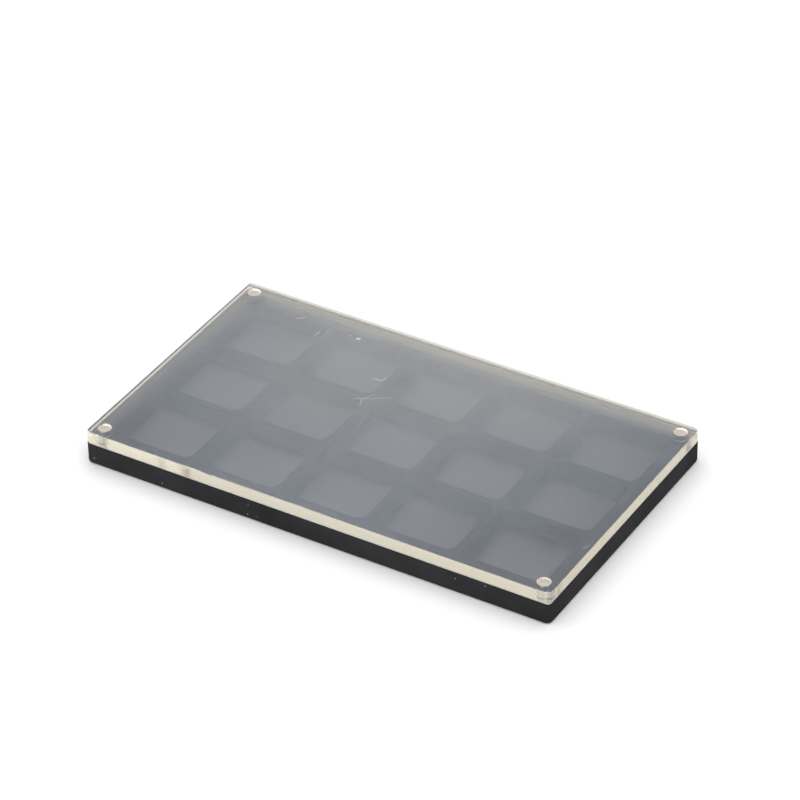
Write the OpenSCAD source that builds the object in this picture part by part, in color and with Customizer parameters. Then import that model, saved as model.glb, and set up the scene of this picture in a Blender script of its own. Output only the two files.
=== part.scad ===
// Paint palette with fifteen wells: a moulded tray, a clear lid plate with a thin seal sheet
// under it, and small disc magnets at the corners of both that hold the lid down.
// The origin is the middle of the tray's underside. X runs along the long side, Z points up.

/* [Wells] */
// Number of wells along the tray
well_columns = 5; // [1:1:8]
// Number of wells across the tray
well_rows = 3; // [1:1:5]
// Length of one well's mouth, along the tray
well_l = 33; // [20:0.5:60]
// Width of one well's mouth, across the tray
well_w = 30; // [20:0.5:60]
// Depth of a well below the tray's top face
well_depth = 6.3; // [3:0.1:20]
// Radius of a well's upright corners
well_corner_r = 3.75; // [2:0.25:8]
// Radius between a well's walls and its floor
well_floor_r = 1.8; // [0.5:0.1:1.9]

/* [Tray] */
// Thickness of the ribs between the wells
rib_t = 3; // [1.5:0.25:8]
// Distance from the outermost wells to the tray's short sides
end_rim = 6.75; // [5.5:0.25:20]
// Distance from the outermost wells to the tray's long sides
side_rim = 7.25; // [5.5:0.25:20]
// Thickness of the tray under the wells
floor_t = 2.1; // [0.8:0.1:6]
// Radius of the tray's upright corners
tray_corner_r = 2.25; // [1.5:0.25:5]
// Radius of the tray's bottom edge
tray_foot_r = 1; // [0.2:0.1:1.4]

/* [Lid] */
// How far the tray's sides stand out past the lid
lid_inset = 0.25; // [0:0.05:1]
// Thickness of the clear plate
lid_t = 4.75; // [2:0.05:10]
// Radius of the clear plate's upright corners
lid_corner_r = 1.75; // [1:0.25:5]
// Bevel along the clear plate's top and bottom edges
lid_bevel = 0.15; // [0.1:0.05:0.8]

/* [Seal sheet] */
// Thickness of the seal sheet
seal_t = 0.35; // [0.2:0.05:1.5]
// How far the sheet's edge stays inside the clear plate's
seal_inset = 0.15; // [0:0.05:0.8]

/* [Magnets] */
// Diameter of the disc magnets
magnet_d = 5; // [3:0.5:6]
// Distance from a magnet's axis to both nearest sides of the clear plate
magnet_inset = 5; // [4:0.25:6]
// Gap around a magnet in its hole
magnet_gap = 0.05; // [0.02:0.01:0.2]
// Depth of a lid magnet's face below the lid's top
lid_magnet_recess = 0.75; // [0:0.05:1.5]
// Length of a tray magnet
tray_magnet_t = 4; // [1:0.25:5]

/* [Hidden] */
$fn = 64;
// Overshoot of a cutter past the face that it opens
cut = 1;

well_pitch_x = well_l + rib_t;
well_pitch_y = well_w + rib_t;
tray_l = well_columns * well_l + (well_columns - 1) * rib_t + 2 * end_rim;
tray_w = well_rows * well_w + (well_rows - 1) * rib_t + 2 * side_rim;
tray_h = floor_t + well_depth;

lid_l = tray_l - 2 * lid_inset;
lid_w = tray_w - 2 * lid_inset;
seal_z = tray_h;
lid_z = seal_z + seal_t;

magnet_x = lid_l / 2 - magnet_inset;
magnet_y = lid_w / 2 - magnet_inset;
magnet_hole_d = magnet_d + 2 * magnet_gap;
lid_magnet_t = lid_t - lid_magnet_recess;
tray_magnet_z = tray_h - tray_magnet_t;

// A rectangular block with round upright corners. Its child is the block's edge in section,
// drawn from the axis of a corner (x = 0) out to the block's side (x = corner_r).
module rounded_block(length, width, height, corner_r) {
    core_l = length - 2 * corner_r;
    core_w = width - 2 * corner_r;
    translate([-core_l / 2, -core_w / 2, 0])
        cube([core_l, core_w, height]);
    for (turn = [0, 180])
        rotate([0, 0, turn]) {
            block_side(core_l, core_w) children();
            rotate([0, 0, 90])
                block_side(core_w, core_l) children();
            block_corner(core_l, core_w) children();
            rotate([0, 0, 90])
                block_corner(core_w, core_l) children();
        }
}

// The straight stretch of edge on the +Y side of a block's core
module block_side(core_l, core_w) {
    translate([-core_l / 2, core_w / 2, 0])
        rotate([90, 0, 90])
            linear_extrude(height = core_l)
                children();
}

// The quarter turn of edge around the +X +Y corner of a block's core
module block_corner(core_l, core_w) {
    translate([core_l / 2, core_w / 2, 0])
        rotate_extrude(angle = 90)
            children();
}

// Edge section with a straight side and a round lower edge
module round_footed_edge(corner_r, foot_r, height) {
    square([corner_r - foot_r, height]);
    translate([corner_r - foot_r, foot_r]) {
        square([foot_r, height - foot_r]);
        intersection() {
            circle(r = foot_r);
            translate([0, -foot_r])
                square(foot_r);
        }
    }
}

// Edge section with a small bevel at the top and at the bottom
module bevelled_edge(corner_r, bevel, height) {
    polygon([
        [0, 0],
        [corner_r - bevel, 0],
        [corner_r, bevel],
        [corner_r, height - bevel],
        [corner_r - bevel, height],
        [0, height]
    ]);
}

// The hollow of one well, which runs on a little above the tray's top face
module well_hollow() {
    hollow_h = well_depth + cut;
    translate([0, 0, floor_t])
        rounded_block(well_l, well_w, hollow_h, well_corner_r)
            round_footed_edge(well_corner_r, well_floor_r, hollow_h);
}

// Puts its child at the middle of every well
module at_wells() {
    for (column = [0 : well_columns - 1])
        for (row = [0 : well_rows - 1])
            translate([
                (column - (well_columns - 1) / 2) * well_pitch_x,
                (row - (well_rows - 1) / 2) * well_pitch_y,
                0
            ])
                children();
}

// Puts its child at the magnet axis of one corner: side_x and side_y are 1 or -1
module at_corner(side_x, side_y) {
    translate([side_x * magnet_x, side_y * magnet_y, 0])
        children();
}

// Puts its child at all four magnet axes
module at_corners() {
    for (side_x = [-1, 1])
        for (side_y = [-1, 1])
            at_corner(side_x, side_y)
                children();
}

module tray() {
    color([0.2, 0.2, 0.21])
        difference() {
            rounded_block(tray_l, tray_w, tray_h, tray_corner_r)
                round_footed_edge(tray_corner_r, tray_foot_r, tray_h);
            at_wells()
                well_hollow();
            at_corners()
                translate([0, 0, tray_magnet_z])
                    cylinder(d = magnet_hole_d, h = tray_magnet_t + cut);
        }
}

module lid_plate() {
    color([0.85, 0.84, 0.79, 0.35])
        translate([0, 0, lid_z])
            difference() {
                rounded_block(lid_l, lid_w, lid_t, lid_corner_r)
                    bevelled_edge(lid_corner_r, lid_bevel, lid_t);
                at_corners()
                    translate([0, 0, -cut])
                        cylinder(d = magnet_hole_d, h = lid_t + 2 * cut);
            }
}

module seal_sheet() {
    seal_l = lid_l - 2 * seal_inset;
    seal_w = lid_w - 2 * seal_inset;
    seal_corner_r = lid_corner_r - seal_inset;
    color([0.55, 0.56, 0.6, 0.7])
        translate([0, 0, seal_z])
            rounded_block(seal_l, seal_w, seal_t, seal_corner_r)
                square([seal_corner_r, seal_t]);
}

module lid_magnet(side_x, side_y) {
    color([0.79, 0.74, 0.7])
        at_corner(side_x, side_y)
            translate([0, 0, lid_z])
                cylinder(d = magnet_d, h = lid_magnet_t);
}

module tray_magnet(side_x, side_y) {
    color([0.79, 0.74, 0.7])
        at_corner(side_x, side_y)
            translate([0, 0, tray_magnet_z])
                cylinder(d = magnet_d, h = tray_magnet_t);
}

tray();
lid_plate();
seal_sheet();
lid_magnet(-1, -1);  // lid_magnet_front_left
lid_magnet(1, -1);  // lid_magnet_front_right
lid_magnet(1, 1);  // lid_magnet_back_right
lid_magnet(-1, 1);  // lid_magnet_back_left
tray_magnet(-1, -1);  // tray_magnet_front_left
tray_magnet(1, -1);  // tray_magnet_front_right
tray_magnet(1, 1);  // tray_magnet_back_right
tray_magnet(-1, 1);  // tray_magnet_back_left
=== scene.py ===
"""Dresses the fifteen-well paint palette: tray, clear plate, milky seal sheet and disc magnets."""

import math

import bmesh
import bpy
from bpy.props import FloatProperty, FloatVectorProperty, IntProperty, PointerProperty
from mathutils import Matrix, Vector


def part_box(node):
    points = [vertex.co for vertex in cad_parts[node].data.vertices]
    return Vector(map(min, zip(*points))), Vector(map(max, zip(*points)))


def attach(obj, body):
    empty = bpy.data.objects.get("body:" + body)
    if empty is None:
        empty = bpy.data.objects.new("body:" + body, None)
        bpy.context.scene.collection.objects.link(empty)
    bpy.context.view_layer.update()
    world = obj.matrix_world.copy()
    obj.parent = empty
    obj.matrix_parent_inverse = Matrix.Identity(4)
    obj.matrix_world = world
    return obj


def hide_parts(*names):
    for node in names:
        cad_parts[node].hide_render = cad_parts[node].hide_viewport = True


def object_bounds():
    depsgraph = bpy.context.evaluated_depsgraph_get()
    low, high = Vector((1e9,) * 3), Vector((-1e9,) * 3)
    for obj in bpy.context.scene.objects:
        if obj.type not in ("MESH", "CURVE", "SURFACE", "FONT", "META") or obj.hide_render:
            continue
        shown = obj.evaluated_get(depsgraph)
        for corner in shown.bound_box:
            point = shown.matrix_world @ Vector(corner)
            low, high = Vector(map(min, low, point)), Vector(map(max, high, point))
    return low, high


bl_info = {
    "name": "Well Palette",
    "version": (1, 0, 0),
    "blender": (4, 5, 0),
    "location": "3D View > Sidebar > Palette",
    "description": "Builds a paint palette with wells, a clear magnetic lid and a seal sheet",
    "category": "Object",
}

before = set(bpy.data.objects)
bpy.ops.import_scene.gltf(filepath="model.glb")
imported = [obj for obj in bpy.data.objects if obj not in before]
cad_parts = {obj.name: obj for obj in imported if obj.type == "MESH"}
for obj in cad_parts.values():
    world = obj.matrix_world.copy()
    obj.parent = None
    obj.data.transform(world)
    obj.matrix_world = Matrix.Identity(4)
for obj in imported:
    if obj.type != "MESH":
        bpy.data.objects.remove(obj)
CAD_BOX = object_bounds()

TRAY_LOW, TRAY_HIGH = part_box("tray")
PLATE_LOW, PLATE_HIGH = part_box("lid_plate")
SHEET_LOW, SHEET_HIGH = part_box("seal_sheet")

BASE_BODY = "base"
COVER_BODY = "cover"
CORNERS = ("front_left", "front_right", "back_right", "back_left")
MM = 0.001
UP = Vector((0, 0, 1))
WHITE = (1.0, 1.0, 1.0, 1.0)
BLACK = (0.0, 0.0, 0.0, 1.0)

# What the settings that are lengths, and those that are colours, have in common
LENGTH = {"subtype": "DISTANCE", "unit": "LENGTH", "precision": 5}
COLOUR = {"subtype": "COLOR", "min": 0, "max": 1}


# -------- settings

class TraySettings(bpy.types.PropertyGroup):
    """Sizes and colour of the black tray"""

    columns: IntProperty(
        name="Columns", description="Wells along the tray", default=5, min=1)
    rows: IntProperty(
        name="Rows", description="Wells across the tray", default=3, min=1)
    rib: FloatProperty(
        name="Rib", description="Thickness of the ribs between wells",
        default=3.0 * MM, **LENGTH)
    end_rim: FloatProperty(
        name="End rim", description="From the outer wells to the short sides",
        default=6.75 * MM, **LENGTH)
    side_rim: FloatProperty(
        name="Side rim", description="From the outer wells to the long sides",
        default=7.25 * MM, **LENGTH)
    well_depth: FloatProperty(
        name="Well depth", description="From the tray's top to a well's floor",
        default=6.3 * MM, **LENGTH)
    well_corner: FloatProperty(
        name="Well corner", description="Radius of a well's upright corners",
        default=3.75 * MM, **LENGTH)
    well_floor: FloatProperty(
        name="Well floor", description="Radius between a well's walls and its floor",
        default=1.8 * MM, **LENGTH)
    corner: FloatProperty(
        name="Corner", description="Radius of the tray's upright corners",
        default=2.25 * MM, **LENGTH)
    foot: FloatProperty(
        name="Foot", description="Radius of the tray's bottom edge",
        default=1.0 * MM, **LENGTH)
    edge: FloatProperty(
        name="Edge", description="Radius that breaks the tray's top edges",
        default=0.2 * MM, **LENGTH)
    colour: FloatVectorProperty(
        name="Colour", description="Black of the moulded plastic",
        default=(0.03, 0.03, 0.032), **COLOUR)
    # Painted reflection: the lighter warm grey of the wells' floors stands in for the light that
    # the satin floors reflect
    floor_colour: FloatVectorProperty(
        name="Well floors", description="Warm grey of the dulled floors of the wells",
        default=(0.13, 0.105, 0.08), **COLOUR)
    gloss: FloatProperty(
        name="Gloss", description="Specular level of the matt outside and ribs",
        default=0.02, min=0, max=1)
    well_gloss: FloatProperty(
        name="Well gloss", description="Specular level of the satin wells",
        default=0.8, min=0, max=1)


class LidSettings(bpy.types.PropertyGroup):
    """Sizes and colours of the clear plate and the sheet under it"""

    corner: FloatProperty(
        name="Corner", description="Radius of the plate's upright corners",
        default=1.75 * MM, **LENGTH)
    bevel: FloatProperty(
        name="Bevel", description="Bevel along the plate's edges",
        default=0.15 * MM, **LENGTH)
    bore_gap: FloatProperty(
        name="Bore gap", description="Gap around a magnet in its bore",
        default=0.05 * MM, **LENGTH)
    air_gap: FloatProperty(
        name="Air gap", description="Film of air between the plate and the sheet",
        default=0.02 * MM, **LENGTH)
    sheet_corner: FloatProperty(
        name="Sheet corner", description="Radius of the seal sheet's corners",
        default=1.6 * MM, **LENGTH)
    haze_colour: FloatVectorProperty(
        name="Haze", description="Milky colour of the haze where it is thick",
        default=(0.77, 0.81, 0.87), **COLOUR)
    thin_haze_colour: FloatVectorProperty(
        name="Thin haze", description="Bluer colour of the haze where it is thin",
        default=(0.5, 0.7, 1.0), **COLOUR)
    haze_level: FloatProperty(
        name="Haze level", description="Share of the light that the thickest haze stops",
        default=0.175, min=0, max=1)
    haze_smudge: FloatProperty(
        name="Haze smudge", description="How much that share varies from smudge to smudge",
        default=0.025, min=0, max=1)
    haze_middle: FloatProperty(
        name="Haze middle", description="Where the haze is thickest, along the lid",
        default=-12.0 * MM, **LENGTH)
    haze_falloff: FloatProperty(
        name="Haze falloff", description="How fast it thins towards the ends, per square metre",
        default=12.5, min=0)
    haze_lean: FloatProperty(
        name="Haze lean", description="How fast it thickens towards the back, per metre",
        default=1.15)
    # Painted light: the haze is paler along the back and left edges, where a painted glow stands
    # in for light coming in through the plate's back and left sides. The real scuffs and dust take
    # this paler colour too.
    glow_and_mark_colour: FloatVectorProperty(
        name="Edge haze", description="Paler colour of the haze along the back and left edges",
        default=(0.95, 0.92, 0.85), **COLOUR)
    film: FloatProperty(
        name="Haze film", description="Thickness of the dried haze on the sheet",
        default=0.01 * MM, **LENGTH)
    tint: FloatVectorProperty(
        name="Tint", description="Colour that the clear plate lets through",
        default=(0.8, 0.74, 0.6), **COLOUR)
    tint_density: FloatProperty(
        name="Tint density", description="How fast the tint builds up, per metre",
        default=2.0, min=0)
    # Painted light: the cut sides' cream is lighter where they carry the painted glow and darker
    # where they don't, as lit and shaded copies of one colour
    lit_side_colour: FloatVectorProperty(
        name="Cut sides", description="Creamy colour of the plate's cut sides where they glow",
        default=(0.43, 0.405, 0.34), **COLOUR)
    shaded_side_colour: FloatVectorProperty(
        name="Dull cut sides", description="Creamy colour of the cut sides where they don't",
        default=(0.3, 0.28, 0.235), **COLOUR)
    # Painted glow: emission on the cut sides, standing in for light that the plate leads to them,
    # shared out per side by the settings below
    side_glow: FloatVectorProperty(
        name="Cut side glow", description="Light that the plate leads to its cut sides",
        default=(0.42, 0.402, 0.347), **COLOUR)
    front_glow: FloatProperty(
        name="Front glow", description="Share of that glow on the front side",
        default=0.37, min=0, max=1)
    right_glow: FloatProperty(
        name="Right glow", description="Share of that glow on the right side",
        default=0.09, min=0, max=1)
    back_glow: FloatProperty(
        name="Back glow", description="Share of that glow on the upper half of the back side",
        default=0.85, min=0, max=1)
    side_roughness: FloatProperty(
        name="Cut side roughness", description="Roughness of the plate's cut sides",
        default=0.1, min=0, max=1)
    sheet_edge: FloatVectorProperty(
        name="Sheet edge", description="White of the seal sheet's cut edge",
        default=(0.93, 0.91, 0.86), **COLOUR)
    sheet_blur: FloatProperty(
        name="Sheet blur", description="Roughness of the seal sheet, which blurs the wells",
        default=0.17, min=0, max=1)


class MagnetSettings(bpy.types.PropertyGroup):
    """Finish of the disc magnets"""

    chamfer: FloatProperty(
        name="Chamfer", description="Rounded edge of a magnet",
        default=0.45 * MM, **LENGTH)
    colour: FloatVectorProperty(
        name="Colour", description="Warm nickel plate",
        default=(0.65, 0.59, 0.535), **COLOUR)
    # Painted highlight: the brighter colour of the magnets' rounded edges and sides stands in for
    # the ring of light they catch
    lit_side_colour: FloatVectorProperty(
        name="Side", description="Brighter plate of the magnets' round sides",
        default=(0.93, 0.89, 0.87), **COLOUR)


class StageSettings(bpy.types.PropertyGroup):
    """Camera, floor and light"""

    azimuth: FloatProperty(
        name="Azimuth", description="Camera's turn around the palette, from its front",
        default=math.radians(31.254), subtype="ANGLE")
    elevation: FloatProperty(
        name="Elevation", description="Camera's height angle",
        default=math.radians(35.42), subtype="ANGLE")
    roll: FloatProperty(
        name="Roll", description="Camera's tilt about its own axis",
        default=math.radians(0.879), subtype="ANGLE")
    distance: FloatProperty(
        name="Distance", description="From the camera to the middle of the lid",
        default=1.4787, **LENGTH)
    aim_right: FloatProperty(
        name="Aim right", description="How far right of the lid's middle it aims",
        default=2.832 * MM, **LENGTH)
    aim_up: FloatProperty(
        name="Aim up", description="How far above the lid's middle it aims",
        default=10.672 * MM, **LENGTH)
    lens: FloatProperty(
        name="Lens", description="Focal length on a 36 mm wide sensor",
        default=186.2, min=1)
    floor_colour: FloatVectorProperty(
        name="Floor", description="Pale floor",
        default=(0.93, 0.93, 0.93), **COLOUR)
    around_strength: FloatProperty(
        name="Around", description="Strength of the white tent around the palette",
        default=0.88, min=0)
    overhead_strength: FloatProperty(
        name="Overhead", description="Strength of the white tent overhead",
        default=1.75, min=0)
    bounces: IntProperty(
        name="Bounces", description="How often light may be turned back inside the plate",
        default=48, min=4)


SETTINGS = (
    ("palette_tray", TraySettings),
    ("palette_lid", LidSettings),
    ("palette_magnets", MagnetSettings),
    ("palette_stage", StageSettings),
)


# -------- node helpers

def set_inputs(tree, node, sockets):
    """Sets a node's input sockets, or links them where a value is another node's output."""
    for name, value in sockets.items():
        if isinstance(value, bpy.types.NodeSocket):
            tree.links.new(value, node.inputs[name])
        else:
            node.inputs[name].default_value = value


def add_node(tree, kind, sockets=None, **properties):
    """Adds a node, sets its properties, and sets or links its input sockets."""
    made = tree.nodes.new(kind)
    for name, value in properties.items():
        setattr(made, name, value)
    set_inputs(tree, made, sockets or {})
    return made


def calculate(tree, operation, *values, clamp=False):
    """One Math node, and its result."""
    made = add_node(tree, "ShaderNodeMath", dict(enumerate(values)),
                    operation=operation, use_clamp=clamp)
    return made.outputs[0]


def vector_maths(tree, operation, *values):
    """One Vector Math node's results: the first is a vector, and Value is a number."""
    made = add_node(tree, "ShaderNodeVectorMath", dict(enumerate(values)), operation=operation)
    return made.outputs


def remap(tree, value, from_low, from_high, to_low=0.0, to_high=1.0):
    """Maps a value's range onto another, and keeps it inside."""
    made = add_node(tree, "ShaderNodeMapRange", {
        "Value": value, "From Min": from_low, "From Max": from_high,
        "To Min": to_low, "To Max": to_high})
    return made.outputs[0]


def blend_colours(tree, factor, first, second):
    """Mixes two colours by a factor."""
    made = add_node(tree, "ShaderNodeMix", {0: factor, 6: first, 7: second}, data_type="RGBA")
    return made.outputs[2]


def blend_values(tree, factor, first, second):
    """Mixes two numbers by a factor."""
    made = add_node(tree, "ShaderNodeMix", {0: factor, 2: first, 3: second}, data_type="FLOAT")
    return made.outputs[0]


def noise(tree, vector, scale, detail=2.0, roughness=0.5, distortion=0.0):
    """One Noise Texture's value, from 0 to 1."""
    made = add_node(tree, "ShaderNodeTexNoise", {
        "Vector": vector, "Scale": scale, "Detail": detail,
        "Roughness": roughness, "Distortion": distortion})
    return made.outputs[0]


def object_place(tree):
    """Object coordinates, which are the palette's own metres."""
    return tree.nodes.new("ShaderNodeTexCoord").outputs["Object"]


def surface_normal(tree):
    """The way the surface faces, in the palette's own axes."""
    return tree.nodes.new("ShaderNodeTexCoord").outputs["Normal"]


def axes(tree, vector):
    """The three parts of a vector, by the names X, Y and Z."""
    return add_node(tree, "ShaderNodeSeparateXYZ", {0: vector}).outputs


def facing_up(tree):
    """How much the surface faces up: 1 on top, 0 on an upright side and -1 below."""
    return axes(tree, surface_normal(tree))["Z"]


def steeper(tree, facing, limit):
    """1 where a surface faces up or down less than a limit, and else 0."""
    return calculate(tree, "LESS_THAN", calculate(tree, "ABSOLUTE", facing), limit)


def rgba(colour, share=1.0):
    """A colour, or a share of it, with a full alpha behind it."""
    return (*(channel * share for channel in colour), 1.0)


def new_group(name, inputs, output):
    """A shader node group with named sockets. Gives the group, its inputs and its one output.

    An input with a value is a number, and one with None is a vector.
    """
    group = bpy.data.node_groups.new(name, "ShaderNodeTree")
    for label, value in inputs.items():
        kind = "NodeSocketVector" if value is None else "NodeSocketFloat"
        socket = group.interface.new_socket(name=label, in_out="INPUT", socket_type=kind)
        if value is not None:
            socket.default_value = value
    group.interface.new_socket(name=output, in_out="OUTPUT", socket_type="NodeSocketFloat")
    start = group.nodes.new("NodeGroupInput")
    end = group.nodes.new("NodeGroupOutput")
    return group, start.outputs, end.inputs[output]


def use_group(tree, group, sockets):
    """Places a node group in a tree and gives its node."""
    return add_node(tree, "ShaderNodeGroup", sockets, node_tree=group)


# -------- shared effects

# Most of a noise's values lie between these
CLOUD_RANGE = (0.3, 0.7)
# Size of the smallest speck of dust beside the largest
SMALLEST_SPECK = 0.4
# How finely a scuff's sides are ragged, per metre
RAGGED_SCALE = 2500.0
# How far a hairline may turn from the given angle, and the share of cells that have one
HAIRLINE_TURN = 1.2
HAIRLINE_SHARE = 0.6


def scattered_cells(group, given, dimensions):
    """Cells at the group's spacing: how many to a metre, their outputs, and random numbers."""
    per_metre = calculate(group, "DIVIDE", 1.0, given["Spacing"])
    cells = add_node(group, "ShaderNodeTexVoronoi", {
        "Vector": given["Vector"], "Scale": per_metre, "Randomness": 1.0},
        feature="F1", distance="EUCLIDEAN", voronoi_dimensions=dimensions)
    channels = add_node(group, "ShaderNodeSeparateColor", {0: cells.outputs["Color"]})
    return per_metre, cells.outputs, channels.outputs


def dust_group(dimensions):
    """Small specks of dust, some of them missing, at a given spacing, on a flat or any face."""
    name = "dust_specks_" + dimensions
    if name in bpy.data.node_groups:
        return bpy.data.node_groups[name]
    group, given, mask = new_group(
        name, {"Vector": None, "Spacing": 0.01, "Speck": 0.0002, "Share": 0.5}, "Mask")
    per_metre, cells, channels = scattered_cells(group, given, dimensions)
    size = calculate(group, "MULTIPLY", given["Speck"], per_metre)
    own_size = calculate(
        group, "MULTIPLY", size, remap(group, channels[1], 0, 1, SMALLEST_SPECK, 1.0))
    near = calculate(group, "LESS_THAN", cells["Distance"], own_size)
    kept = calculate(group, "LESS_THAN", channels[0], given["Share"])
    group.links.new(calculate(group, "MULTIPLY", near, kept), mask)
    return group


def stroke_group():
    """A straight scuff from one point to another, tapering into noise at its sides."""
    name = "scuff_stroke"
    if name in bpy.data.node_groups:
        return bpy.data.node_groups[name]
    group, given, mask = new_group(
        name, {"Vector": None, "Start": None, "End": None, "Width": 0.0002}, "Mask")
    flat = vector_maths(group, "MULTIPLY", given["Vector"], (1, 1, 0))[0]
    run = vector_maths(group, "SUBTRACT", given["End"], given["Start"])[0]
    reach = vector_maths(group, "SUBTRACT", flat, given["Start"])[0]
    along = vector_maths(group, "DOT_PRODUCT", reach, run)["Value"]
    length = vector_maths(group, "DOT_PRODUCT", run, run)["Value"]
    share = calculate(group, "DIVIDE", along, length, clamp=True)
    scaled = add_node(group, "ShaderNodeVectorMath", {0: run, "Scale": share}, operation="SCALE")
    away = vector_maths(group, "SUBTRACT", reach, scaled.outputs[0])[0]
    distance = vector_maths(group, "LENGTH", away)["Value"]
    ragged = noise(group, flat, RAGGED_SCALE)
    width = calculate(
        group, "MULTIPLY", given["Width"], remap(group, ragged, *CLOUD_RANGE, 0.4, 1.3))
    inner = calculate(group, "DIVIDE", distance, width)
    group.links.new(remap(group, inner, 0.5, 1.0, 1.0, 0.0), mask)
    return group


def hairline_group():
    """Sparse straight hairlines, each in its own cell and turned its own way."""
    name = "hairline_scratches"
    if name in bpy.data.node_groups:
        return bpy.data.node_groups[name]
    group, given, mask = new_group(
        name, {"Vector": None, "Angle": 0.6, "Spacing": 0.01, "Width": 0.0001}, "Mask")
    _, cells, channels = scattered_cells(group, given, "3D")
    away = vector_maths(
        group, "SUBTRACT", given["Vector"], cells["Position"])[0]
    own_turn = calculate(group, "ADD", given["Angle"], remap(
        group, channels[0], 0, 1, -HAIRLINE_TURN, HAIRLINE_TURN))
    turned = add_node(group, "ShaderNodeVectorRotate", {
        "Vector": away, "Angle": own_turn}, rotation_type="Z_AXIS")
    parts = axes(group, turned.outputs[0])
    across = calculate(group, "ABSOLUTE", parts["Y"])
    along = calculate(group, "ABSOLUTE", parts["X"])
    half_width = calculate(group, "MULTIPLY", given["Width"], 0.5)
    reach = calculate(group, "MULTIPLY", given["Spacing"], remap(
        group, channels[1], 0, 1, 0.05, 0.4))
    thin = remap(group, calculate(group, "DIVIDE", across, half_width), 0.4, 1.0, 1.0, 0.0)
    short = remap(group, calculate(group, "DIVIDE", along, reach), 0.5, 1.0, 1.0, 0.0)
    kept = calculate(group, "LESS_THAN", channels[2], HAIRLINE_SHARE)
    both = calculate(group, "MULTIPLY", thin, short)
    group.links.new(calculate(group, "MULTIPLY", both, kept), mask)
    return group


def grain_group():
    """Fine spark-eroded grain of a moulded plastic face, as a height from 0 to 1."""
    name = "moulded_grain"
    if name in bpy.data.node_groups:
        return bpy.data.node_groups[name]
    group, given, height = new_group(name, {"Vector": None, "Fineness": 3000.0}, "Height")
    fine = noise(group, given["Vector"], given["Fineness"], 3.0, 0.6)
    coarse_scale = calculate(group, "MULTIPLY", given["Fineness"], 0.3)
    coarse = noise(group, given["Vector"], coarse_scale, 2.0)
    group.links.new(blend_values(group, 0.35, fine, coarse), height)
    return group


# -------- materials

def new_material(name):
    """An empty node material with its Principled shader and its output."""
    material = bpy.data.materials.new(name)
    material.use_nodes = True
    tree = material.node_tree
    tree.nodes.clear()
    shader = tree.nodes.new("ShaderNodeBsdfPrincipled")
    output = tree.nodes.new("ShaderNodeOutputMaterial")
    tree.links.new(shader.outputs[0], output.inputs["Surface"])
    return material, tree, shader, output


# Scales of the clouds and streaks, per metre
TRAY_CLOUD = 45.0
PLATE_CLOUD = 30.0
HAZE_CLOUD = 22.0
STREAKS = 70.0
EDGE_CLOUD = 400.0
NICKEL_MOTTLE = 1400.0
FLOOR_CLOUD = 3.0
# How much finer the streaks are across the lid than along it
STREAK_STRETCH = 2.6
# Roughness of the tray's plastic next to a well's walls
MATT_ROUGHNESS = 0.8
TRAY_DUST_COLOUR = (0.35, 0.34, 0.32, 1.0)
SILICONE_COLOURS = ((0.94, 0.97, 1.0, 1.0), (0.88, 0.93, 1.0, 1.0))
ACRYLIC_IOR = 1.49
SILICONE_IOR = 1.2
# Shares of facing straight up: a face is upright below the first, a magnet's rounded side, which
# takes the painted highlight, below the second, and flat above the third
UPRIGHT = 0.5
ROUNDED = 0.97
FLAT = 0.98
# Where a well's floor colour, a painted reflection, begins and where it is full, as shares of
# facing straight up
FLOOR_FACING = (0.6, 0.95)
# Share of a corner's radius from which its round belongs to the back or left side
CORNER_SHARE = 0.7
# Depths below the plate's top between which the back side's painted glow ends and the left side's
# begins
BACK_GLOW_END = (2.2 * MM, 2.9 * MM)
LEFT_GLOW_START = (2.2 * MM, 3.1 * MM)
# Depths between which the plate's top wear ends, and the roughness it adds at most
WEAR_DEPTHS = (0.03 * MM, 0.01 * MM)
MOST_WEAR = 0.03
# Distances from the back and left edges over which the painted glow fades, and its start at the
# left
BACK_PAINTED_GLOW = (0.3 * MM, 10.5 * MM)
LEFT_PAINTED_GLOW = (0.5 * MM, 12.0 * MM)
LEFT_PAINTED_GLOW_START = 0.7
# What the painted glow adds to the haze's share at most, and the least share that the haze has
# anywhere
PAINTED_GLOW_ADDED = 0.17
LEAST_HAZE = 0.05
# The haze's share at which its colour is wholly the milky one
MILKY_HAZE = 0.2
HAZE_DUST = 0.3


def from_well_walls(tree, place, tray):
    """Distance from the nearest wall of a point's well, for odd numbers of rows and columns."""
    parts = axes(tree, place)
    low, high = well_corners(tray)[0]
    distances = []
    for axis, half in (("X", (high.x - low.x) / 2), ("Y", (high.y - low.y) / 2)):
        off_middle = calculate(tree, "PINGPONG", parts[axis], half + tray.rib / 2)
        distances.append(calculate(tree, "SUBTRACT", half, off_middle))
    return calculate(tree, "SMOOTH_MIN", *distances, tray.well_corner)


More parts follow.
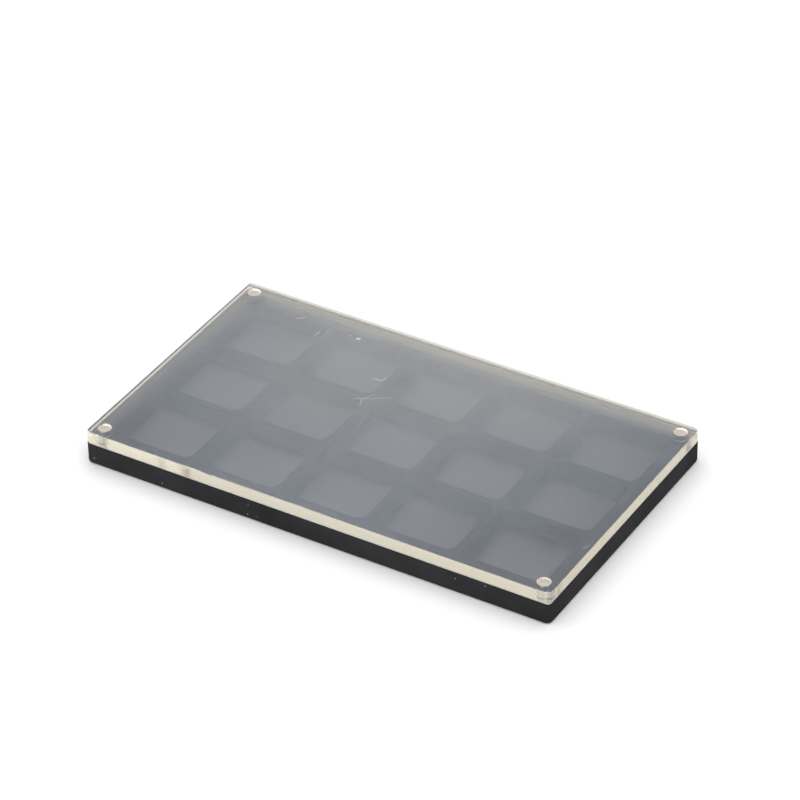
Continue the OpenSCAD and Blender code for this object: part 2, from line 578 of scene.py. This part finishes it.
def tray_plastic(name, tray, floor_colour, gloss, roughness, grain_depth):
    """Black moulding with a fine grain. Its low faces that look up take the floor colour, a
    painted reflection, with painted shade that darkens it towards the wells' walls.
    """
    colour = tray.colour
    material, tree, shader, _ = new_material(name)
    place = object_place(tree)
    cloud = noise(tree, place, TRAY_CLOUD, 4.0, 0.6)
    tone = remap(tree, cloud, *CLOUD_RANGE)
    plastic = blend_colours(tree, tone, rgba(colour, 0.8), rgba(colour, 1.2))
    # Painted reflection: the lighter floor colour
    reflecting = blend_colours(tree, tone, rgba(floor_colour, 0.85), rgba(floor_colour, 1.1))
    facing = facing_up(tree)
    on_floor = calculate(
        tree, "MULTIPLY", remap(tree, facing, *FLOOR_FACING),
        calculate(tree, "LESS_THAN", axes(tree, place)["Z"], TRAY_HIGH.z / 2))
    # Painted shade: the floor colour fades to the black towards the wells' walls, where they shade
    # the floor. The same mask makes the plastic matt there.
    inside = remap(
        tree, from_well_walls(tree, place, tray), tray.well_floor / 2, tray.well_floor * 3.0)
    on_floor = calculate(tree, "MULTIPLY", on_floor, inside)
    surface = blend_colours(tree, on_floor, plastic, reflecting)
    dust = use_group(tree, dust_group("3D"), {
        "Vector": place, "Spacing": 3.0 * MM, "Speck": 0.32 * MM, "Share": 0.5})
    specks = calculate(
        tree, "MULTIPLY", dust.outputs["Mask"], steeper(tree, facing, UPRIGHT))
    dusted = blend_colours(tree, specks, surface, TRAY_DUST_COLOUR)
    polish = remap(tree, cloud, *CLOUD_RANGE, roughness * 0.9, roughness * 1.1)
    grain = use_group(tree, grain_group(), {"Vector": place, "Fineness": 2600.0})
    bump = add_node(tree, "ShaderNodeBump", {
        "Strength": 0.25, "Distance": grain_depth, "Height": grain.outputs["Height"]})
    set_inputs(tree, shader, {
        "Base Color": dusted,
        "Roughness": blend_values(tree, inside, MATT_ROUGHNESS, polish),
        "Specular IOR Level": gloss,
        "Normal": bump.outputs[0]})
    return material


def clear_acrylic(lid, topside, outside):
    """Clear cast plate, polished all round. Its cut sides are creamier than its faces and carry a
    painted glow: emission, and a lighter copy of the cream where they glow.
    """
    material, tree, shader, output = new_material("clear_acrylic")
    place = object_place(tree)
    away = vector_maths(tree, "ABSOLUTE", place)[0]
    past = axes(tree, vector_maths(tree, "SUBTRACT", away, (*outside, 0.0))[0])
    beyond = calculate(
        tree, "GREATER_THAN", calculate(tree, "MAXIMUM", past["X"], past["Y"]), 0.0)
    cut_side = calculate(tree, "MULTIPLY", beyond, steeper(tree, facing_up(tree), UPRIGHT))
    parts = axes(tree, place)
    depth = calculate(tree, "SUBTRACT", topside, parts["Z"])
    half_x, half_y = (reach + lid.corner * CORNER_SHARE for reach in outside)
    on_back = calculate(tree, "GREATER_THAN", parts["Y"], half_y)
    on_left = calculate(tree, "LESS_THAN", parts["X"], -half_x)
    elsewhere = calculate(tree, "SUBTRACT", 1.0, calculate(tree, "MAXIMUM", on_back, on_left))
    # Share of the painted glow on each cut side: by place at the front and right, by depth below
    # the top at the back and left for rays one bounce deep, and an even share for other rays
    nearby = remap(
        tree, parts["X"], outside[0], outside[0] + lid.corner, lid.front_glow, lid.right_glow)
    turns = tree.nodes.new("ShaderNodeLightPath").outputs["Ray Depth"]
    seen_first = calculate(tree, "COMPARE", turns, 1.0, 0.5)
    back_share = blend_values(
        tree, seen_first, lid.back_glow / 2,
        remap(tree, depth, *BACK_GLOW_END, lid.back_glow, 0.0))
    left_share = blend_values(
        tree, seen_first, 0.5, remap(tree, depth, *LEFT_GLOW_START))
    back_glow = calculate(tree, "MULTIPLY", on_back, back_share)
    left_glow = calculate(tree, "MULTIPLY", on_left, left_share)
    glow = calculate(tree, "MULTIPLY_ADD", elsewhere, nearby, back_glow)
    glow = calculate(tree, "MULTIPLY", cut_side, calculate(tree, "ADD", glow, left_glow))
    glowing = calculate(tree, "DIVIDE", glow, lid.right_glow, clamp=True)
    # Lit and shaded copies of the cut sides' cream, picked by the painted glow
    side = blend_colours(tree, glowing, rgba(lid.shaded_side_colour), rgba(lid.lit_side_colour))
    on_top = remap(tree, parts["Z"], *(topside - deep for deep in WEAR_DEPTHS))
    worn = remap(tree, noise(tree, place, PLATE_CLOUD), *CLOUD_RANGE, 0.0, MOST_WEAR)
    sawn = calculate(tree, "MULTIPLY", cut_side, lid.side_roughness)
    set_inputs(tree, shader, {
        "Base Color": blend_colours(tree, cut_side, WHITE, side),
        "Roughness": calculate(tree, "MULTIPLY_ADD", on_top, worn, sawn),
        "Transmission Weight": 1.0,
        "IOR": ACRYLIC_IOR,
        # Painted glow: the cut sides emit light, though they are no lamp
        "Emission Color": blend_colours(tree, glow, BLACK, rgba(lid.side_glow)),
        "Emission Strength": 1.0})
    material.cycles.emission_sampling = "NONE"
    absorb = add_node(tree, "ShaderNodeVolumeAbsorption", {
        "Color": rgba(lid.tint), "Density": lid.tint_density})
    tree.links.new(absorb.outputs[0], output.inputs["Volume"])
    return material


def wiped_streaks(tree, place):
    """Soft streaks that run along the lid."""
    drawn_out = vector_maths(tree, "MULTIPLY", place, (1.0, STREAK_STRETCH, 1.0))[0]
    return noise(tree, drawn_out, STREAKS, 2.0, 0.6, 0.4)


def milky_silicone(blur):
    """Clear soft sheet whose fine grain blurs what lies under it."""
    material, tree, shader, _ = new_material("milky_silicone")
    place = object_place(tree)
    streaks = wiped_streaks(tree, place)
    across = axes(tree, place)["Y"]
    more_at_back = remap(tree, across, PLATE_LOW.y, PLATE_HIGH.y, blur * 0.9, blur * 1.3)
    uneven = remap(tree, streaks, *CLOUD_RANGE, 0.85, 1.15)
    set_inputs(tree, shader, {
        "Base Color": blend_colours(tree, streaks, *SILICONE_COLOURS),
        "Roughness": calculate(tree, "MULTIPLY", more_at_back, uneven),
        "Transmission Weight": 1.0,
        "IOR": SILICONE_IOR})
    return material


# Scuffs in the haze: start and end in X and Y, width, all in millimetres, and how much shows
SCUFFS = (
    (-23.1, 12.8, -20.8, 13.6, 0.36, 0.3), (-20.8, 13.6, -18.5, 18.3, 0.28, 0.26),
    (-20.8, 13.6, -12.6, 19.2, 0.24, 0.28), (-20.8, 13.6, -19.6, 10.1, 0.32, 0.3),
    (-23.8, 26.6, -20.5, 27.0, 0.42, 0.32), (-20.5, 27.0, -20.1, 29.6, 0.35, 0.28),
    (-57.1, 39.9, -56.7, 42.6, 0.45, 0.26), (-53.4, 40.0, -54.6, 48.1, 0.4, 0.1),
    (-13.5, -2.5, -14.0, 4.3, 0.22, 0.18), (-68.8, 45.8, -66.4, 47.6, 0.5, 0.26),
    (-45.4, 45.9, -45.2, 46.0, 0.42, 0.35), (-42.2, 45.6, -41.5, 45.9, 0.75, 0.75),
    (-38.2, 16.7, -38.0, 16.8, 0.35, 0.3), (-10.9, 4.7, -10.7, 4.8, 0.42, 0.4),
    (-11.3, 7.2, -11.2, 7.3, 0.34, 0.28), (-9.7, 4.8, -9.6, 4.9, 0.3, 0.24),
    (-13.4, 29.1, -13.0, 29.4, 0.4, 0.2), (1.8, 22.1, 2.0, 22.3, 0.35, 0.28),
    (59.6, 31.5, 62.4, 30.2, 0.35, 0.2), (91.2, -24.0, 92.0, -22.6, 0.5, 0.28),
)

# Broad smudges of the haze: centre in X and Y and radius in millimetres, and how much they add
SMUDGES = (
    (-43.0, 38.0, 17.0, 0.045), (-30.0, 33.0, 12.0, 0.03), (-12.6, 31.0, 5.0, -0.05),
    (-9.0, 29.5, 4.0, -0.03), (2.0, 33.0, 14.0, 0.012), (-66.0, -12.0, 38.0, 0.04),
)


def smudge_marks(tree, place):
    """All the broad smudges together, as what they add to the haze's share."""
    total = 0.0
    for centre_x, centre_y, radius, added in SMUDGES:
        reach = vector_maths(
            tree, "SUBTRACT", place, (centre_x * MM, centre_y * MM, SHEET_HIGH.z))[0]
        away = vector_maths(tree, "LENGTH", reach)["Value"]
        near = remap(tree, away, 0.0, radius * MM, 1.0, 0.0)
        soft = calculate(tree, "SMOOTH_MIN", near, 0.6, 0.4)
        total = calculate(tree, "MULTIPLY_ADD", soft, added, total)
    return total


def scuff_marks(tree, place):
    """All the scuffs of the haze together, as the share of light that they stop."""
    total = None
    for start_x, start_y, end_x, end_y, width, shown in SCUFFS:
        stroke = use_group(tree, stroke_group(), {
            "Vector": place, "Start": (start_x * MM, start_y * MM, 0.0),
            "End": (end_x * MM, end_y * MM, 0.0), "Width": width * MM})
        mark = calculate(tree, "MULTIPLY", stroke.outputs["Mask"], shown)
        total = mark if total is None else calculate(tree, "MAXIMUM", total, mark)
    return total


def sheet_edge(colour):
    """The white cut edge of the silicone sheet."""
    material, tree, shader, _ = new_material("sheet_edge")
    cloud = noise(tree, object_place(tree), EDGE_CLOUD)
    set_inputs(tree, shader, {
        "Base Color": blend_colours(tree, cloud, rgba(colour, 0.93), rgba(colour)),
        "Roughness": 0.5})
    return material


def dried_haze(lid):
    """The cloudy haze on the sheet: thicker to the back, smudged, scuffed and dusty. A painted
    glow along the back and left edges makes it denser and paler there.
    """
    material, tree, shader, _ = new_material("dried_haze")
    place = object_place(tree)
    parts = axes(tree, place)
    from_thickest = calculate(tree, "SUBTRACT", parts["X"], lid.haze_middle)
    falloff = calculate(tree, "MULTIPLY", from_thickest, from_thickest)
    falloff = calculate(tree, "MULTIPLY", falloff, lid.haze_falloff)
    lean = calculate(tree, "MULTIPLY", parts["Y"], lid.haze_lean)
    broad = noise(tree, place, HAZE_CLOUD, 3.0, 0.5, 0.6)
    uneven = blend_values(tree, 0.35, broad, wiped_streaks(tree, place))
    smudged = remap(
        tree, uneven, *CLOUD_RANGE,
        lid.haze_level - lid.haze_smudge, lid.haze_level + lid.haze_smudge)
    level = calculate(tree, "ADD", calculate(tree, "SUBTRACT", smudged, falloff), lean)
    level = calculate(tree, "ADD", level, smudge_marks(tree, place))
    level = calculate(tree, "MAXIMUM", level, LEAST_HAZE)
    # Painted glow along the back and left edges, which thickens the haze there
    from_back = calculate(tree, "SUBTRACT", SHEET_HIGH.y, parts["Y"])
    back_painted_glow = remap(tree, from_back, *BACK_PAINTED_GLOW, 1.0, 0.0)
    from_left = calculate(tree, "SUBTRACT", parts["X"], SHEET_LOW.x)
    left_painted_glow = remap(tree, from_left, *LEFT_PAINTED_GLOW, LEFT_PAINTED_GLOW_START, 0.0)
    painted_glow = calculate(tree, "MAXIMUM", back_painted_glow, left_painted_glow)
    painted_glow = calculate(tree, "MULTIPLY", painted_glow, painted_glow)
    level = calculate(tree, "ADD", level, calculate(tree, "MULTIPLY", painted_glow, PAINTED_GLOW_ADDED))
    dust = use_group(tree, dust_group("2D"), {
        "Vector": place, "Spacing": 5.0 * MM, "Speck": 0.16 * MM, "Share": 0.4})
    scuffed = scuff_marks(tree, place)
    dusty = calculate(tree, "MULTIPLY", dust.outputs["Mask"], HAZE_DUST)
    marks = calculate(tree, "MAXIMUM", dusty, scuffed)
    milkiness = remap(tree, level, LEAST_HAZE, MILKY_HAZE)
    milky = blend_colours(tree, milkiness, rgba(lid.thin_haze_colour), rgba(lid.haze_colour))
    # The paler colour goes where the painted glow is, and on the real scuffs and dust
    white_marks = calculate(tree, "MULTIPLY", marks, 4.0, clamp=True)
    glow_and_marks = calculate(tree, "MAXIMUM", painted_glow, white_marks)
    set_inputs(tree, shader, {
        "Base Color": blend_colours(tree, glow_and_marks, milky, rgba(lid.glow_and_mark_colour)),
        "Alpha": calculate(tree, "ADD", level, marks, clamp=True),
        "Roughness": 0.7,
        "Specular IOR Level": 0.0})
    return material


def magnet_nickel(colour, lit_side_colour):
    """Dull warm nickel with a fine mottle and turned scratches, and a painted highlight: a
    brighter colour on the rounded edges and sides.
    """
    material, tree, shader, _ = new_material("magnet_nickel")
    place = object_place(tree)
    mottle = noise(tree, place, NICKEL_MOTTLE, 4.0, 0.6)
    plated = blend_colours(
        tree, remap(tree, mottle, 0.35, 0.65), rgba(colour, 0.8), rgba(colour))
    # Painted highlight: the rounded edges and sides take the brighter colour
    highlighted_side = steeper(tree, facing_up(tree), ROUNDED)
    scratches = use_group(tree, hairline_group(), {
        "Vector": place, "Angle": 1.1, "Spacing": 1.2 * MM, "Width": 0.04 * MM})
    bump = add_node(tree, "ShaderNodeBump", {
        "Strength": 0.2, "Distance": 0.01 * MM, "Height": scratches.outputs["Mask"]})
    set_inputs(tree, shader, {
        "Base Color": blend_colours(tree, highlighted_side, plated, rgba(lit_side_colour)),
        "Metallic": 1.0,
        "Roughness": remap(tree, mottle, *CLOUD_RANGE, 0.3, 0.5),
        "Normal": bump.outputs[0]})
    return material


def floor_paper(colour):
    """Pale studio floor, very slightly uneven in tone."""
    material, tree, shader, _ = new_material("floor_paper")
    cloud = noise(tree, object_place(tree), FLOOR_CLOUD)
    set_inputs(tree, shader, {
        "Base Color": blend_colours(tree, cloud, rgba(colour, 0.985), rgba(colour)),
        "Roughness": 0.9,
        "Specular IOR Level": 0.0})
    return material


# -------- mesh helpers

# Vertices nearer to each other than this become one
SAME_PLACE = 1e-7
# Edges that turn more than this are shaded sharp
SHARP_ANGLE = math.radians(40.0)


def rounded_face(bm, low, high, z, radius, segments):
    """A flat rectangle with round corners, facing up. Its two corners are given in X and Y."""
    made = bmesh.ops.create_grid(bm, x_segments=1, y_segments=1, size=0.5)
    verts = made["verts"]
    size = Vector((high[0] - low[0], high[1] - low[1], 1))
    middle = Vector(((high[0] + low[0]) / 2, (high[1] + low[1]) / 2, z))
    bmesh.ops.scale(bm, vec=size, verts=verts)
    bmesh.ops.translate(bm, vec=middle, verts=verts)
    rounded = bmesh.ops.bevel(
        bm, geom=verts, offset=radius, offset_type="OFFSET", segments=segments,
        profile=0.5, affect="VERTICES", material=-1)
    face = rounded["verts"][0].link_faces[0]
    face.normal_update()
    return face


def step_face(bm, face, inward, along):
    """Leaves a face's outline in place and carries the face on: inward, and along its normal."""
    travel = face.normal * along
    if inward > 0:
        bmesh.ops.inset_region(
            bm, faces=[face], thickness=inward, depth=0.0,
            use_boundary=True, use_even_offset=True)
    else:
        face = bmesh.ops.extrude_discrete_faces(bm, faces=[face])["faces"][0]
    bmesh.ops.translate(bm, vec=travel, verts=face.verts)
    face.normal_update()
    return face


def quarter_circle(radius, segments):
    """The steps round a quarter circle: how far each goes aside, and how far straight on."""
    for i in range(segments):
        t0 = math.pi / 2 * i / segments
        t1 = math.pi / 2 * (i + 1) / segments
        yield radius * (math.cos(t0) - math.cos(t1)), radius * (math.sin(t1) - math.sin(t0))


def round_off(bm, face, radius, segments, way=1):
    """Carries a face on from an upright side round a quarter circle: outward, or back with -1."""
    for inward, along in quarter_circle(radius, segments):
        face = step_face(bm, face, inward, along * way)
    return face


def roll_in(bm, face, radius, segments):
    """Carries a face down over a rounded lip, from flat to upright."""
    for down, inward in quarter_circle(radius, segments):
        face = step_face(bm, face, inward, -down)
    return face


def drop_face(bm, face):
    """Deletes one face and leaves its edges, so that the opening can be joined to others."""
    edges = list(face.edges)
    bmesh.ops.delete(bm, geom=[face], context="FACES_ONLY")
    return edges


def close_below(bm, upper_edges):
    """Fills a shell's lower opening with one face that looks down, and gives that face."""
    edges = [e for e in bm.edges if e.is_boundary and e not in upper_edges]
    face = bmesh.ops.contextual_create(bm, geom=edges)["faces"][0]
    face.normal_update()
    if face.normal.z > 0:
        face.normal_flip()
        face.normal_update()
    return face


def fill_between(bm, edges, normal):
    """Fills one outline and the holes inside it with flat triangles."""
    bmesh.ops.triangle_fill(bm, use_beauty=True, use_dissolve=False, edges=edges, normal=normal)


def finish_piece(bm, name, material, body, nodes, more_materials=()):
    """Turns a bmesh into a piece that rides on a body and stands for CAD nodes."""
    bmesh.ops.remove_doubles(bm, verts=bm.verts, dist=SAME_PLACE)
    bmesh.ops.recalc_face_normals(bm, faces=bm.faces)
    mesh = bpy.data.meshes.new(name)
    bm.to_mesh(mesh)
    bm.free()
    mesh.shade_smooth()
    mesh.set_sharp_from_angle(angle=SHARP_ANGLE)
    for coat in (material, *more_materials):
        mesh.materials.append(coat)
    piece = bpy.data.objects.new(name, mesh)
    bpy.context.scene.collection.objects.link(piece)
    weighted = piece.modifiers.new("even_shading", "WEIGHTED_NORMAL")
    weighted.mode = "FACE_AREA"
    weighted.weight = 100
    weighted.keep_sharp = True
    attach(piece, body)
    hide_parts(*nodes)
    return piece


# -------- the pieces

# Segments of an upright corner, a fillet, a broken edge, a magnet's edge and a full circle
CORNER_STEPS = 10
FILLET_STEPS = 6
EDGE_STEPS = 3
CHAMFER_STEPS = 5
ROUND_STEPS = 64


def well_corners(tray):
    """Low and high corner of every well's mouth."""
    run_x = TRAY_HIGH.x - TRAY_LOW.x - 2 * tray.end_rim
    run_y = TRAY_HIGH.y - TRAY_LOW.y - 2 * tray.side_rim
    well_x = (run_x - (tray.columns - 1) * tray.rib) / tray.columns
    well_y = (run_y - (tray.rows - 1) * tray.rib) / tray.rows
    corners = []
    for column in range(tray.columns):
        for row in range(tray.rows):
            low = Vector((
                TRAY_LOW.x + tray.end_rim + column * (well_x + tray.rib),
                TRAY_LOW.y + tray.side_rim + row * (well_y + tray.rib)))
            corners.append((low, low + Vector((well_x, well_y))))
    return corners


def bore_ring(bm, centre, radius, z):
    """The edges of a round loop at a height, in the same order each time."""
    made = bmesh.ops.create_circle(bm, cap_ends=False, segments=ROUND_STEPS, radius=radius)
    bmesh.ops.translate(bm, vec=Vector((centre[0], centre[1], z)), verts=made["verts"])
    return list(dict.fromkeys(edge for vert in made["verts"] for edge in vert.link_edges))


def sink_pocket(bm, ring, depth):
    """A blind round pocket below a ring, which stays open at the top."""
    walls = bmesh.ops.extrude_edge_only(bm, edges=ring)["geom"]
    verts = [g for g in walls if isinstance(g, bmesh.types.BMVert)]
    edges = [g for g in walls if isinstance(g, bmesh.types.BMEdge)]
    bmesh.ops.translate(bm, vec=-UP * depth, verts=verts)
    floor = [e for e in edges if all(v in verts for v in e.verts)]
    bmesh.ops.contextual_create(bm, geom=floor)


def sink_well(bm, tray, low, high):
    """One well, its flat floor in the second material. Gives the edges of its mouth."""
    others = set(bm.faces)
    lip = Vector((tray.edge, tray.edge))
    face = rounded_face(
        bm, low - lip, high + lip, TRAY_HIGH.z, tray.well_corner + tray.edge, CORNER_STEPS)
    mouth = list(face.edges)
    face = roll_in(bm, face, tray.edge, EDGE_STEPS)
    wall = tray.well_depth - tray.edge - tray.well_floor
    face = step_face(bm, face, 0.0, -wall)
    round_off(bm, face, tray.well_floor, FILLET_STEPS, way=-1)
    for made in set(bm.faces) - others:
        made.normal_update()
        low_down = made.calc_center_median().z < TRAY_HIGH.z - tray.well_depth / 2
        made.material_index = 1 if low_down and made.normal.z > FLAT else 0
    return mouth


def magnet_axis(node):
    """Centre of a magnet in X and Y, its radius, and its lowest and highest Z."""
    low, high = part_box(node)
    centre = (low + high) / 2
    return (centre.x, centre.y), (high.x - low.x) / 2, low.z, high.z


class PALETTE_OT_tray(bpy.types.Operator):
    """Add the black tray with its wells and magnet pockets"""

    bl_idname = "palette.tray"
    bl_label = "Tray"

    def execute(self, context):
        tray = context.scene.palette_tray
        top = TRAY_HIGH.z
        bm = bmesh.new()
        face = rounded_face(
            bm, TRAY_LOW, TRAY_HIGH, TRAY_LOW.z + tray.foot, tray.corner, CORNER_STEPS)
        up_face = step_face(bm, face, 0.0, top - TRAY_LOW.z - tray.foot - tray.edge)
        up_face = round_off(bm, up_face, tray.edge, EDGE_STEPS)
        openings = drop_face(bm, up_face)
        round_off(bm, close_below(bm, openings), tray.foot, FILLET_STEPS)
        for low, high in well_corners(tray):
            openings += sink_well(bm, tray, low, high)
        for corner in CORNERS:
            centre, radius, low_z, _ = magnet_axis("tray_magnet_" + corner)
            ring = bore_ring(bm, centre, radius + context.scene.palette_lid.bore_gap, top)
            openings += ring
            sink_pocket(bm, ring, top - low_z)
        fill_between(bm, openings, UP)
        matt = tray_plastic("tray_plastic", tray, tray.colour, tray.gloss, 0.5, 0.02 * MM)
        satin = tray_plastic(
            "well_plastic", tray, tray.floor_colour, tray.well_gloss, 0.35, 0.01 * MM)
        finish_piece(
            bm, "black_tray", matt, BASE_BODY, ["tray"], more_materials=[satin])
        return {"FINISHED"}


class PALETTE_OT_plate(bpy.types.Operator):
    """Add the clear lid plate with its four bores"""

    bl_idname = "palette.plate"
    bl_label = "Clear plate"

    def execute(self, context):
        lid = context.scene.palette_lid
        low_z, high_z = PLATE_LOW.z, PLATE_HIGH.z
        bm = bmesh.new()
        face = rounded_face(
            bm, PLATE_LOW, PLATE_HIGH, low_z + lid.bevel, lid.corner, CORNER_STEPS)
        up_face = step_face(bm, face, 0.0, high_z - low_z - 2 * lid.bevel)
        up_face = step_face(bm, up_face, lid.bevel, lid.bevel)
        top_edges = drop_face(bm, up_face)
        under = step_face(bm, close_below(bm, top_edges), lid.bevel, lid.bevel)
        under_edges = drop_face(bm, under)
        for corner in CORNERS:
            centre, radius, _, _ = magnet_axis("lid_magnet_" + corner)
            upper = bore_ring(bm, centre, radius + lid.bore_gap, high_z)
            lower = bore_ring(bm, centre, radius + lid.bore_gap, low_z)
            bmesh.ops.bridge_loops(bm, edges=upper + lower)
            top_edges += upper
            under_edges += lower
        fill_between(bm, top_edges, UP)
        fill_between(bm, under_edges, -UP)
        outside = (PLATE_HIGH.x - lid.corner, PLATE_HIGH.y - lid.corner)
        acrylic = clear_acrylic(lid, high_z, outside)
        finish_piece(
            bm, "clear_plate", acrylic, COVER_BODY, ["lid_plate"])
        return {"FINISHED"}


class PALETTE_OT_sheet(bpy.types.Operator):
    """Add the milky seal sheet under the plate"""

    bl_idname = "palette.sheet"
    bl_label = "Seal sheet"

    def execute(self, context):
        lid = context.scene.palette_lid
        film_high = SHEET_HIGH.z - lid.air_gap
        film_low = film_high - lid.film
        bm = bmesh.new()
        layers = (
            (SHEET_LOW.z + lid.air_gap, film_low - lid.air_gap, 0),
            (film_low, film_high, 1),
        )
        for low_z, high_z, material_index in layers:
            face = rounded_face(bm, SHEET_LOW, SHEET_HIGH, low_z, lid.sheet_corner, CORNER_STEPS)
            outline = list(face.edges)
            upper = step_face(bm, face, 0.0, high_z - low_z)
            lower = bmesh.ops.contextual_create(bm, geom=outline)["faces"][0]
            walls = {near for edge in upper.edges for near in edge.link_faces} - {upper}
            for made in (upper, lower):
                made.material_index = material_index
            for made in walls:
                made.material_index = 2
        finish_piece(
            bm, "milky_sheet", milky_silicone(lid.sheet_blur), COVER_BODY,
            ["seal_sheet"], more_materials=[dried_haze(lid), sheet_edge(lid.sheet_edge)])
        return {"FINISHED"}


class PALETTE_OT_magnets(bpy.types.Operator):
    """Add the disc magnets of the lid and of the tray"""

    bl_idname = "palette.magnets"
    bl_label = "Magnets"

    def execute(self, context):
        magnets = context.scene.palette_magnets
        nickel = magnet_nickel(magnets.colour, magnets.lit_side_colour)
        for part, body in (("lid", COVER_BODY), ("tray", BASE_BODY)):
            for corner in CORNERS:
                node = part + "_magnet_" + corner
                centre, radius, low_z, high_z = magnet_axis(node)
                bm = bmesh.new()
                bmesh.ops.create_cone(
                    bm, cap_ends=True, cap_tris=False, segments=ROUND_STEPS,
                    radius1=radius, radius2=radius, depth=high_z - low_z)
                rims = [e for e in bm.edges if any(len(f.verts) > 4 for f in e.link_faces)]
                bmesh.ops.bevel(
                    bm, geom=rims, offset=magnets.chamfer, offset_type="OFFSET",
                    segments=CHAMFER_STEPS, profile=0.5, affect="EDGES", material=-1)
                middle = Vector((centre[0], centre[1], (low_z + high_z) / 2))
                bmesh.ops.translate(bm, vec=middle, verts=bm.verts)
                finish_piece(
                    bm, part + "_disc_" + corner, nickel, body, [node])
        return {"FINISHED"}


# Half the floor's side, and the soft lamp's sides, power and place, in metres and watts
FLOOR_HALF = 4.0
LAMP_SIDES = (1.6, 1.2)
LAMP_POWER = 0.5
LAMP_PLACE = Vector((-0.9, 1.1, 1.3))
# Where the tent grows brighter overhead, as shares of straight up
OVERHEAD = (0.6, 0.95)
SENSOR_WIDTH = 36.0
FARTHEST_SEEN = 20.0


class PALETTE_OT_stage(bpy.types.Operator):
    """Add the floor, the light and the camera"""

    bl_idname = "palette.stage"
    bl_label = "Stage"

    def execute(self, context):
        stage = context.scene.palette_stage
        for add in (self.add_floor, self.add_light, self.add_camera, self.allow_bounces):
            add(context.scene, stage)
        context.scene.view_settings.view_transform = "Standard"
        return {"FINISHED"}

    def add_floor(self, scene, stage):
        """A plain floor that the tray stands on."""
        bm = bmesh.new()
        bmesh.ops.create_grid(bm, x_segments=1, y_segments=1, size=FLOOR_HALF)
        mesh = bpy.data.meshes.new("pale_floor")
        bm.to_mesh(mesh)
        bm.free()
        mesh.materials.append(floor_paper(stage.floor_colour))
        floor = bpy.data.objects.new("pale_floor", mesh)
        scene.collection.objects.link(floor)

    def add_light(self, scene, stage):
        """A white tent that is brighter overhead than around, and one wide soft lamp."""
        world = bpy.data.worlds.new("studio_tent")
        world.use_nodes = True
        tree = world.node_tree
        background = tree.nodes["Background"]
        skyward = axes(tree, tree.nodes.new("ShaderNodeTexCoord").outputs["Generated"])["Z"]
        strength = remap(
            tree, skyward, *OVERHEAD, stage.around_strength, stage.overhead_strength)
        set_inputs(tree, background, {"Strength": strength, "Color": WHITE})
        scene.world = world
        lamp = bpy.data.lights.new("soft_box", "AREA")
        lamp.shape = "RECTANGLE"
        lamp.size, lamp.size_y = LAMP_SIDES
        lamp.energy = LAMP_POWER
        lamp_object = bpy.data.objects.new("soft_box", lamp)
        lamp_object.location = LAMP_PLACE
        lamp_object.rotation_euler = (-LAMP_PLACE).to_track_quat("-Z", "Y").to_euler()
        scene.collection.objects.link(lamp_object)

    def allow_bounces(self, scene, stage):
        """Lets light run the whole length of the clear plate between its faces."""
        scene.cycles.max_bounces = stage.bounces
        scene.cycles.glossy_bounces = stage.bounces
        scene.cycles.transmission_bounces = stage.bounces

    def add_camera(self, scene, stage):
        """A long lens, level with the view that the settings give."""
        sin_a, cos_a = math.sin(stage.azimuth), math.cos(stage.azimuth)
        sin_e, cos_e = math.sin(stage.elevation), math.cos(stage.elevation)
        back = Vector((sin_a * cos_e, -cos_a * cos_e, sin_e))
        level_right = Vector((cos_a, sin_a, 0))
        level_up = back.cross(level_right)
        right = level_right * math.cos(stage.roll) - level_up * math.sin(stage.roll)
        up = level_right * math.sin(stage.roll) + level_up * math.cos(stage.roll)
        lid_middle = Vector((0, 0, CAD_BOX[1][2]))
        place = lid_middle + back * stage.distance + right * stage.aim_right + up * stage.aim_up
        camera = bpy.data.cameras.new("studio_camera")
        camera.sensor_width = SENSOR_WIDTH
        camera.lens = stage.lens
        camera.clip_end = FARTHEST_SEEN
        camera_object = bpy.data.objects.new("studio_camera", camera)
        camera_object.matrix_world = Matrix.Translation(place) @ Matrix(
            (right, up, back)).transposed().to_4x4()
        scene.collection.objects.link(camera_object)
        scene.camera = camera_object


class PALETTE_PT_panel(bpy.types.Panel):
    """Lists the palette's pieces and their settings"""

    bl_label = "Palette"
    bl_idname = "PALETTE_PT_panel"
    bl_space_type = "VIEW_3D"
    bl_region_type = "UI"
    bl_category = "Palette"

    def draw(self, context):
        for operator in OPERATORS:
            self.layout.operator(operator.bl_idname)
        for name, group in SETTINGS:
            box = self.layout.box()
            for prop in group.__annotations__:
                box.prop(getattr(context.scene, name), prop)


OPERATORS = (
    PALETTE_OT_tray,
    PALETTE_OT_plate,
    PALETTE_OT_sheet,
    PALETTE_OT_magnets,
    PALETTE_OT_stage,
)


CLASSES = (*(group for _, group in SETTINGS), *OPERATORS, PALETTE_PT_panel)


def register():
    for kind in CLASSES:
        bpy.utils.register_class(kind)
    for name, group in SETTINGS:
        setattr(bpy.types.Scene, name, PointerProperty(type=group))


def unregister():
    for name, _ in SETTINGS:
        delattr(bpy.types.Scene, name)
    for kind in reversed(CLASSES):
        bpy.utils.unregister_class(kind)


def main():
    """Builds the whole palette and its stage."""
    register()
    bpy.ops.palette.stage()
    bpy.ops.palette.tray()
    bpy.ops.palette.plate()
    bpy.ops.palette.sheet()
    bpy.ops.palette.magnets()


if __name__ == "__main__":
    main()
